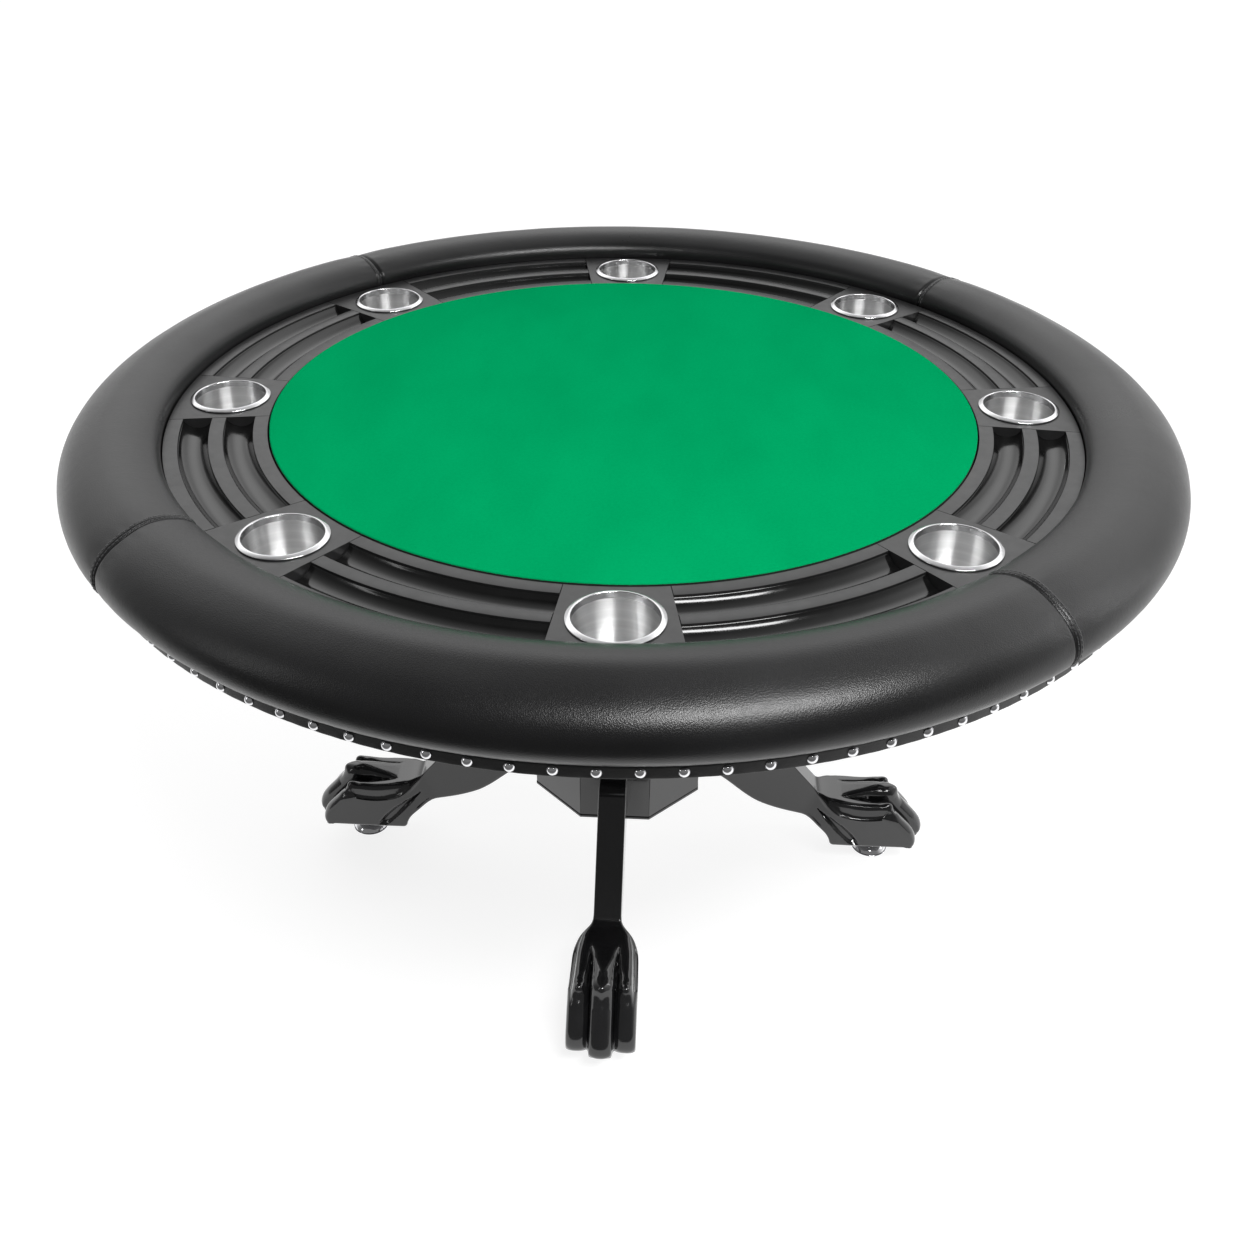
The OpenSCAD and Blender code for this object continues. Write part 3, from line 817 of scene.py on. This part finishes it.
def cup(k):
    """A spun steel cup: rolled polished rim, straight brushed wall, rounded foot with a spun ring."""
    azimuth = -pi / 2 + (k - 1) * STEP
    inner, outer = 44.6 * MM, 45.4 * MM
    depth = TRACK_Z - CUP_BOTTOM_Z
    roll = 1.0 * MM
    rim_top = CUP_TOP_Z - TRACK_Z
    outline = [(0.3 * MM, -depth), (outer - 8 * MM, -depth)]
    outline += arc(outer - 7 * MM, -depth + 7 * MM, 7 * MM, -80, 0, 7)
    outline += [(outer, -depth + 20 * MM), (outer, -0.6 * MM), (outer + 0.4 * MM, 0.15 * MM)]
    outline += [(CUP_RIM_R - roll, 0.2 * MM)]
    outline += arc(CUP_RIM_R - roll, 0.2 * MM + roll, roll, -70, 65, 8)
    outline += [(CUP_RIM_R - 2.4 * MM, rim_top * 0.76), (CUP_RIM_R - 3.8 * MM, rim_top * 0.91)]
    outline += arc(inner + 1.3 * MM, rim_top - 1.3 * MM, 1.3 * MM, 84, 180, 6)
    outline += [(inner, -4 * MM), (inner - 0.15 * MM, -depth * 0.5), (inner - 0.3 * MM, -depth + 8 * MM)]
    foot = 6.2 * MM
    outline += arc(inner - 0.3 * MM - foot, -depth + 0.8 * MM + foot, foot, -8, -90, 8)
    outline += [(30 * MM, -depth + 0.75 * MM), (27.5 * MM, -depth + 0.95 * MM), (25 * MM, -depth + 1.3 * MM),
                (12 * MM, -depth + 1.35 * MM), (0.3 * MM, -depth + 1.35 * MM)]
    sides = 112
    points = [polar(r, a, z) for a in around(sides) for r, z in outline]
    piece = new_piece(f"drop_in_cup_{k}", (points, turned_faces(sides, outline)), CUP_STEEL,
                      f"cup_body_{k}", sharp_deg=50, place=polar(CUP_CENTRE_R, azimuth, TRACK_Z))
    piece.data.materials.append(RIM_STEEL)
    for face in piece.data.polygons:
        if face.center.z > -0.9 * MM and face.center.xy.length > inner - 0.2 * MM:
            face.material_index = 1
    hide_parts(f"cup_{k}")


for number in range(1, STATIONS + 1):
    rack(number)
    cup(number)
    finish(f"cup_block_{number}", TRACK)


# ==== Pedestal ====
def prism(outline, low, high, bevel):
    """An upright prism with its upper and lower outer edges eased by a small bevel."""
    centre = np.mean(outline, axis=0)
    rings = [(low, bevel), (low + bevel, 0), (high - bevel, 0), (high, bevel)]
    points = []
    for z, shrink in rings:
        for x, y in outline:
            away = np.array([x, y]) - centre
            x2, y2 = np.array([x, y]) - away / np.linalg.norm(away) * shrink
            points.append((x2, y2, z))
    return points, tube_faces(len(rings), len(outline))


def octagon(face):
    """An octagon with the given distance from its centre to its faces, turned with the legs."""
    return [polar(face / cos(pi / 8), BASE_TURN + pi / 8 + a, 0)[:2] for a in around(8)]


COLUMN_FACE = 122 * MM


def column():
    """Eight mitred staves with eased outer edges, so that fine joint lines show."""
    thick = 18 * MM
    ease = 0.5 * MM
    half_out = COLUMN_FACE * tan(pi / 8) - 0.05 * MM
    half_in = (COLUMN_FACE - thick) * tan(pi / 8) - 0.05 * MM
    outline = [(COLUMN_FACE - thick, -half_in), (COLUMN_FACE - ease, -half_out + ease * 0.4),
               (COLUMN_FACE, -half_out + ease), (COLUMN_FACE, half_out - ease),
               (COLUMN_FACE - ease, half_out - ease * 0.4), (COLUMN_FACE - thick, half_in)]
    stave = prism(outline, STAVE_LOW_Z, STAVE_HIGH_Z, 0.3 * MM)
    staves = merged([turned(stave, BASE_TURN + a) for a in around(8)])
    piece = new_piece("column_of_staves", staves, LACQUER, smooth=False)
    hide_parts("column_staves")


def base_plate():
    """The plate under the column: a square edge with eased arrises under a fine shadow groove."""
    parts = [prism(octagon(COLUMN_FACE - 1.5 * MM), STAVE_LOW_Z - 1.6 * MM, STAVE_LOW_Z - 0.2 * MM, 0.1 * MM),
             prism(octagon(COLUMN_FACE + 0.5 * MM), PLATE_LOW_Z, STAVE_LOW_Z - 1.5 * MM, 0.9 * MM)]
    piece = new_piece("base_plate", merged(parts), LACQUER, smooth=False)
    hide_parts("column_base_plate")


column()
base_plate()


# ==== Legs: a slab that flares into a three-toed paw, lofted rib by rib from its underside to its ridge. ====
# Outlines are in the leg's own plane, in mm: distance from the column's axis, height above the floor.
LEG_IN = COLUMN_FACE / MM + 0.3
LEG_HIGH = LEG_TOP_Z / MM
SOLE = SOLE_Z / MM
HEEL = SOLE - 2.8
PAW_HALF = 46.2
GROOVE_Y = 16.5
TOE_Y = 31.0


def curves(*chain):
    """Each cubic curve of a chain as a line of its own."""
    return [bezier_chain([curve], 16) for curve in chain]


PAW_PLAN = [
    (288, 19), (303, 19.2), (309, 22), (316, 28), (323.5, 34.8), (332, 40), (344, 43.6), (358, 45),
    (400, 46), (440, PAW_HALF), (500, PAW_HALF)
]
UNDER = [
    [(LEG_IN, LEG_HIGH), (LEG_IN, 300)],
    [(LEG_IN, 300), (LEG_IN, 215)],
    [(LEG_IN, 215), (LEG_IN, 157.6)],
    [(LEG_IN, 157.6), *bezier_chain([[(130, 157.6), (165, 149), (188, 109), (225, 93)],
                                     [(225, 93), (262, 77), (285, 77), (304, 69)]], 16)],
    bezier_chain([[(304, 69), (316, 63), (326.5, 57), (330, SOLE + 3)],
                  [(330, SOLE + 3), (331.3, SOLE - 1), (333, HEEL), (337, HEEL)]], 16),
    [(337, HEEL), (400, SOLE - 1.3)],
    [(400, SOLE - 1.3), (430, SOLE - 0.6)],
    [(430, SOLE - 0.6), (449, SOLE)],
    [(449, SOLE), (457, SOLE)],
]
RIDGE = curves(
    [(150, LEG_HIGH), (163, 400), (161, 345), (165, 300)],
    [(165, 300), (167, 275), (170, 262), (180, 262)],
    [(180, 262), (190, 262), (198, 257), (205, 247)],
    [(205, 247), (245, 196), (294, 136), (306, 122)],
    [(306, 122), (314, 117), (329, 115.5), (345, 114.5)]
)
SIDE_TOE = curves(
    [(345, 114.5), (360, 112.5), (380, 110), (397, 112.5)],
    [(397, 112.5), (407, 114.5), (416, 113.5), (421, 106.5)],
    [(421, 106.5), (432, 94), (445, 79), (455, 66)],
    [(455, 66), (462, 56), (465, 45), (460, SOLE)]
)
CENTRE_TOE = curves(
    [(345, 114.5), (363, 117), (384, 123.5), (402, 126.5)],
    [(402, 126.5), (415, 128.5), (425, 124), (431, 112)],
    [(431, 112), (442, 97), (457, 79), (468, 64)],
    [(468, 64), (476, 53), (478, 44), (471, SOLE)]
)
RIBS = (10, 8, 10, 34, 20, 40, 18, 34, 20)
# Points of a rib across the leg's top and down each of its sides.
ACROSS, DOWN = 85, 26
# The lens-shaped cut on each side of the heel: its middle line and half its width along it.
LENS = np.array([(309, 94), (327, 84.5), (343, 70), (358, 54), (373, 37)])
LENS_HALF = (0.4, 5.2, 8.2, 8.4, 5.5)
LENS_DEPTH = 6.5
# The paw spreads earlier near the floor: how much further out a lower point counts as being.
SPREAD_LEAN = 0.35
SPREAD_Z = 110


def spread_over(pieces):
    """The stations of a chain of lines, with each line's own count, as one array."""
    rows = []
    for line, count in zip(pieces, RIBS[-len(pieces):] if len(pieces) == 4 else RIBS):
        rows.append(along(line, count + 1)[:-1])
    rows.append([np.asarray(pieces[-1], float)[-1]])
    return np.vstack(rows)


def half_width(r, z):
    """Half the leg's width at a point of its side."""
    plan = np.array(PAW_PLAN)
    r = r + SPREAD_LEAN * (SPREAD_Z - np.clip(z, SOLE, 125))
    near = np.interp(r, plan[:, 0], plan[:, 1])
    inward, outward = (np.interp(r + gap, plan[:, 0], plan[:, 1]) for gap in (-5, 5))
    return (inward + 2 * near + outward) / 4


def rounded(v, power):
    """0 on a toe's ridge, 1 in its groove."""
    return 1 - np.sqrt(np.clip(1 - np.clip(np.abs(v), 0, 1) ** power, 0, 1))


def leg_shape():
    """Points and faces of one leg that runs along +X, in metres."""
    under = spread_over(UNDER)
    side = spread_over(RIDGE + SIDE_TOE)
    centre = side.copy()
    centre[-(sum(RIBS[5:]) + 1):] = spread_over(CENTRE_TOE)
    count = len(side)
    start = sum(RIBS[:4])
    inward, inward_c = -normals(side), -normals(centre)
    toes = sum(RIBS[:5])
    knee = sum(RIBS[:6]) + RIBS[6] * 0.75
    step = np.arange(count)
    # Shares of the way: 0 at the ankle, 1 at the knee, 2 at the tip.
    way = np.interp(step, [start - RIBS[3], start, toes, knee, count - 1], [-1.0, -0.45, 0, 1, 2])
    edge = np.interp(way, [-0.6, -0.45, -0.3, -0.15, 0, 0.2, 0.45, 1.0, 1.3, 2.0],
                     [1.8, 2.2, 9, 16, 20, 22, 23, 21, 11, 7])
    edge_w = np.interp(way, [-0.6, -0.45, -0.3, -0.15, 0, 0.2, 0.45, 1.0, 2.0],
                       [1.8, 2.4, 10, 17, 17, 15.5, 15, 14.5, 12])
    cove = np.interp(way, [-0.3, 0.0, 1.0, 1.25], [0, 1, 1, 0])
    groove = np.interp(way, [-0.05, 0.08, 0.3, 0.6, 1.0, 1.3, 1.8, 2.0], [0, 3, 12, 17.5, 17, 14, 10, 8])
    facet = np.interp(way, [0, 0.35, 0.62, 0.78, 0.95, 1.12, 1.25, 1.55, 1.8, 2.0],
                      [7, 5.5, 2.6, 1.5, 2.3, 2.1, 1.5, 2.4, 2.2, 2.0])
    knob = 3.6 * np.exp(-(((way - 1.0) / 0.075) ** 2)) - 1.6 * np.exp(-(((way - 1.17) / 0.06) ** 2))
    knob = knob - 1.4 * np.exp(-(((way - 0.84) / 0.07) ** 2))
    pad = 1.6 * np.exp(-(((way - 1.62) / 0.2) ** 2))
    middle = np.interp(way, [0, 0.5], [19.5, GROOVE_Y])
    toe_y = np.interp(way, [-0.1, 0.4], [26, TOE_Y])
    arris = np.interp(way, [-0.7, -0.45, -0.1, 0.3, 1.6, 1.9], [1.8, 3.0, 4.0, 3.5, 2.0, 0.3])
    shares = np.linspace(-1, 1, ACROSS)
    points = []
    tip = np.clip((step - sum(RIBS[:6])) / (count - 1 - sum(RIBS[:6])), 0, 1) ** 1.5
    for i in range(count):
        slab = i < sum(RIBS[:3])
        half = LEG_HALF / MM if slab else float(half_width(side[i, 0], side[i, 1] - edge[i]))
        half_low = LEG_HALF / MM if slab else float(half_width(under[i, 0], under[i, 1]))
        y = shares * half
        a = np.abs(y)
        inner = 1 - smoothstep(middle[i] - 2.2, middle[i] + 2.2, a)
        base = side[i] * (1 - inner)[:, None] + centre[i] * inner[:, None]
        normal = inward[i] * (1 - inner)[:, None] + inward_c[i] * inner[:, None]
        normal /= np.linalg.norm(normal, axis=1)[:, None]
        outward = np.clip((a - (half - edge_w[i])) / edge_w[i], 0, 1)
        bead = 0.5 * rounded(outward / 0.58, 2.0)
        hollow = 0.5 * np.sqrt(np.clip(1 - np.clip((1 - outward) / 0.42, 0, 1) ** 2, 0, 1))
        depth = edge[i] * (cove[i] * (bead + hollow) + (1 - cove[i]) * rounded(outward, 2.0))
        if groove[i] > 0:
            toe_in = rounded((toe_y[i] - a) / (toe_y[i] - middle[i]) * (a < toe_y[i]), 0.5 + facet[i] * 0.75)
            toe_mid = rounded(a / middle[i], facet[i])
            cut = groove[i] * np.where(a > middle[i], toe_in, toe_mid)
            depth = np.maximum(depth * (a > toe_y[i]), cut)
            ball = np.exp(-((y / 6.5) ** 2)) + 0.85 * np.exp(-(((a - toe_y[i]) / 6.0) ** 2))
            cushion = np.exp(-((y / 9) ** 2)) + 0.7 * np.exp(-(((a - toe_y[i]) / 8) ** 2))
            depth = depth - knob[i] * ball - pad[i] * cushion
        top = base + normal * depth[:, None]
        top[:, 1] = np.maximum(top[:, 1], SOLE)
        if i == count - 1:
            top[:, 1] = SOLE
        low = np.repeat(under[i][None], len(shares), axis=0)
        low[:, 0] += (top[:, 0] - side[i, 0]) * tip[i]
        y_low = shares * (half + (half_low - half) * (1 - tip[i]))
        if i == count - 1:
            low = top.copy()
        ease = arris[i] * np.clip((np.abs(y_low) - (abs(y_low[0]) - arris[i])) / arris[i], 0, 1) ** 2
        lift = top - low
        lift /= np.maximum(np.linalg.norm(lift, axis=1), 1e-6)[:, None]
        low = low + lift * ease[:, None]
        ring = [(p[0], w, p[1]) for p, w in zip(top, y)]
        for sign, end in ((1, -1), (-1, 0)):
            column = []
            for j in range(1, DOWN):
                p = top[end] + (low[end] - top[end]) * (j / DOWN)
                wide = half if slab else float(half_width(p[0], p[1]))
                cut = LENS_DEPTH * (1 - lens_share(p) ** 2)
                first, last = max(0.0, 1 - j / 3), max(0.0, 1 - (DOWN - j) / 3)
                wide = wide * (1 - first - last) + half * first + abs(y_low[0]) * last
                column.append((p[0], sign * (wide - cut * (1 - first) * (1 - last)), p[1]))
            if sign == 1:
                ring += column
                ring += [(p[0], w, p[1]) for p, w in zip(low[::-1], y_low[::-1])]
            else:
                ring += column[::-1]
        points += ring
        loop = len(ring)
    faces = grid_faces(count, loop, False, True)
    faces.append(tuple(range(loop)))
    return [(x * MM, y * MM, z * MM) for x, y, z in points], faces


def lens_share(p):
    """How far a point on the side is across the lens: 0 on its middle line, 1 at its rim and outside."""
    share = 1.0
    for a, b, half_a, half_b in zip(LENS, LENS[1:], LENS_HALF, LENS_HALF[1:]):
        t = float(np.clip(np.dot(p - a, b - a) / np.dot(b - a, b - a), 0, 1))
        away = float(np.linalg.norm(p - a - (b - a) * t))
        share = min(share, away / (half_a + (half_b - half_a) * t))
    return share


def bored(piece, centre, steps):
    """Cuts a stepped round hole up into a piece."""
    outline = [(0.0001, -0.002)]
    for radius, high in steps:
        outline += [(radius, outline[-1][1]), (radius, high)]
    outline.append((0.0001, outline[-1][1]))
    points, faces = lathe(outline, centre, 40)
    mesh = bpy.data.meshes.new("cutter")
    mesh.from_pydata(points, [], faces)
    cutter = linked("cutter", mesh)
    modifier = piece.modifiers.new("bore", "BOOLEAN")
    modifier.operation = "DIFFERENCE"
    modifier.solver = "EXACT"
    modifier.object = cutter
    bpy.context.view_layer.update()
    bpy.context.view_layer.objects.active = piece
    with bpy.context.temp_override(object=piece, active_object=piece):
        bpy.ops.object.modifier_apply(modifier=modifier.name)
    bpy.data.objects.remove(cutter)


# Radius and height of each step of the hole for the leveler, from the sole up.
LEVELER_BORE = [(12.4 * MM, 2.4 * MM), (8.3 * MM, 26.5 * MM), (6.7 * MM, 66.5 * MM)]
LEG_SHAPE = leg_shape()
for name, azimuth in LEGS.items():
    leg = new_piece(f"carved_leg_{name}", turned(LEG_SHAPE, azimuth), LACQUER, sharp_deg=50)
    bored(leg, Vector(polar(LEVELER_R, azimuth, SOLE_Z)), LEVELER_BORE)
    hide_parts(f"leg_{name}")


# ==== Levelers ====
def stem(name, azimuth):
    """A threaded stem with a chamfered hexagon."""
    low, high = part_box(f"leveler_stem_{name}")
    r_out, r_root, pitch = 5.95 * MM, 5.3 * MM, 1.75 * MM
    centre = Vector(polar(LEVELER_R, azimuth, 0))
    sides, per_turn = 24, 6
    rings = int((high[2] - low[2]) / pitch * per_turn)
    points = []
    for i in range(rings + 1):
        z = low[2] + (high[2] - low[2]) * i / rings
        for j in range(sides):
            a = TURN * j / sides
            wave = abs(((z / pitch - j / sides) % 1) * 2 - 1)
            r = r_root + (r_out - r_root) * float(smoothstep(0.15, 0.75, wave))
            if i in (0, rings):
                r = r_root * 0.9
            points.append(polar(r, a, z, centre))
    thread = points, tube_faces(rings + 1, sides)
    nut_low, nut_high, flat = 18.4 * MM, 27.4 * MM, 9.53 * MM
    nut_points = []
    ring_r = [(nut_low, 0.93), (nut_low + 0.9 * MM, 1.0), (nut_high - 0.9 * MM, 1.0), (nut_high, 0.93)]
    for z, share in ring_r:
        for a in around(48):
            inside = (a + pi / 6) % (pi / 3) - pi / 6
            r = min(flat / cos(inside), flat / cos(pi / 6) * share)
            nut_points.append(polar(r, a, z, centre))
    shape = merged([thread, (nut_points, tube_faces(4, 48))])
    piece = new_piece(f"threaded_stem_{name}", shape, CHROME, f"foot_stem_{name}", sharp_deg=30)
    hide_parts(f"leveler_stem_{name}")


def pad(name, azimuth):
    """A domed pad with a thin brim, turned in one piece round the stem's foot."""
    outline = [(0.2, 0), (27.0, 0)]
    outline += arc(27.2, 1.0, 0.9, -60, 90, 6)
    outline += [(26.5, 1.95)]
    outline += arc(8.0, -7.5, 20.5, 28, 72, 14)
    outline += [(11.2, 13.0), (9.6, 14.4), (9.0, 16.4), (8.8, 17.6), (8.2, 18.0)]
    outline += [(6.15, 18.0), (6.15, 8.0), (0.2, 8.0)]
    shape = lathe([(r * MM, z * MM) for r, z in outline], polar(LEVELER_R, azimuth, 0))
    piece = new_piece(f"domed_pad_{name}", shape, CHROME, f"foot_pad_{name}", sharp_deg=35)
    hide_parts(f"leveler_pad_{name}")


for name, azimuth in LEGS.items():
    stem(name, azimuth)
    pad(name, azimuth)


# ==== CAD pieces that stay as they are ====
for node in ("rail_core", "track_inner_bearer", "track_outer_bearer", "playing_board", "column_cleats"):
    finish(node, WOOD)
for node in ("rail_bolts", "top_plate_bolts", "leg_bolts"):
    finish(node, ZINC)
for node in ("deck_inserts", "leg_inserts", "foot_inserts"):
    finish(node, BRASS)
finish("deck_board", BOARD)
finish("pedestal_top_plate", LACQUER)


# ==== Stage, lights and camera ====
def floor():
    mesh = bpy.data.meshes.new("floor")
    side = 40
    corners = [(-side, -side, 0), (side, -side, 0), (side, side, 0), (-side, side, 0)]
    mesh.from_pydata(corners, [], [(0, 1, 2, 3)])
    plane = linked("floor", mesh)
    paint = Surface("floor_white", (0.3, 0.3, 0.3), 0.7, Specular_IOR_Level=0.1,
                    Emission_Strength=0.82, Emission_Color=(1, 1, 1, 1))
    # What the gloss mirrors ends in front of the table, as lit paper does; seen directly, the floor is even.
    x, y, z = paint.split(paint.where)
    reach = paint.math("ADD", y, paint.math("MULTIPLY", x, 0.35))
    seen = paint.node("ShaderNodeLightPath").outputs["Is Camera Ray"]
    paper = paint.math("MAXIMUM", paint.ramp(reach, -1.4, -0.95), seen)
    paint.link(paint.ramp(paper, 0, 1, 0.08, 0.82), paint.shader.inputs["Emission Strength"])
    paint.colour(paint.mix(paper, (0.04, 0.04, 0.04), (0.3, 0.3, 0.3)))
    mesh.materials.append(paint.material)


def area_light(name, place, target, size, power):
    data = bpy.data.lights.new(name, "AREA")
    data.shape = "RECTANGLE"
    data.size, data.size_y = size
    data.energy = power
    lamp = linked(name, data)
    lamp.location = place
    lamp.rotation_euler = (Vector(target) - Vector(place)).to_track_quat("-Z", "Y").to_euler()


def studio():
    """Soft studio surroundings: a bright rear wall that is brightest halfway up, and a dimmer front."""
    world = bpy.data.worlds.new("studio")
    bpy.context.scene.world = world
    world.use_nodes = True
    sky = Nodes(world.node_tree)
    background = sky.tree.nodes["Background"]
    x, y, z = sky.split(sky.node("ShaderNodeTexCoord").outputs["Generated"])
    smooth = "SMOOTHSTEP"
    rear = sky.math("ADD", y, sky.math("MULTIPLY", x, 0.3))
    wall = sky.ramp(rear, -0.45, 0.4, 0.17, 0.82, smooth)
    band = sky.math("MULTIPLY", sky.ramp(z, 0.3, 0.52, 0, 1, smooth), sky.ramp(z, 0.66, 0.88, 1, 0, smooth))
    band = sky.math("MULTIPLY", band, sky.ramp(rear, 0.05, 0.5, 0, 1.05, smooth))
    ceiling = sky.ramp(z, 0.8, 0.96, 0, -0.15, smooth)
    total = sky.math("ADD", sky.math("ADD", wall, band), ceiling)
    # Seen directly, the background is even.
    seen = sky.node("ShaderNodeLightPath").outputs["Is Camera Ray"]
    total = sky.math("ADD", total, sky.math("MULTIPLY", seen, sky.math("SUBTRACT", 0.9, total)))
    sky.link(total, background.inputs["Strength"])
    background.inputs["Color"].default_value = (1, 1, 1, 1)


floor()
studio()
area_light("key", (1.0, -2.0, 3.2), (0.05, -0.5, 0.75), (1.7, 0.6), 103)
area_light("strip_left", (-2.7, -1.3, 1.7), (0, 0, 0.75), (0.2, 1.6), 4.5)
area_light("strip_right", (3.0, 0.15, 1.7), (0, 0, 0.75), (0.15, 1.6), 5.5)

bpy.context.scene.view_settings.view_transform = "Standard"

camera_data = bpy.data.cameras.new("camera")
camera = linked("camera", camera_data)
camera.location = (0.0145, -1.6126, 1.4747)
camera.rotation_euler = Euler([radians(a) for a in (56.396, -0.305, 1.246)])
camera_data.sensor_width = 36
camera_data.lens = 38.685
camera_data.shift_x = 0.0119
camera_data.clip_end = 100
bpy.context.scene.camera = camera
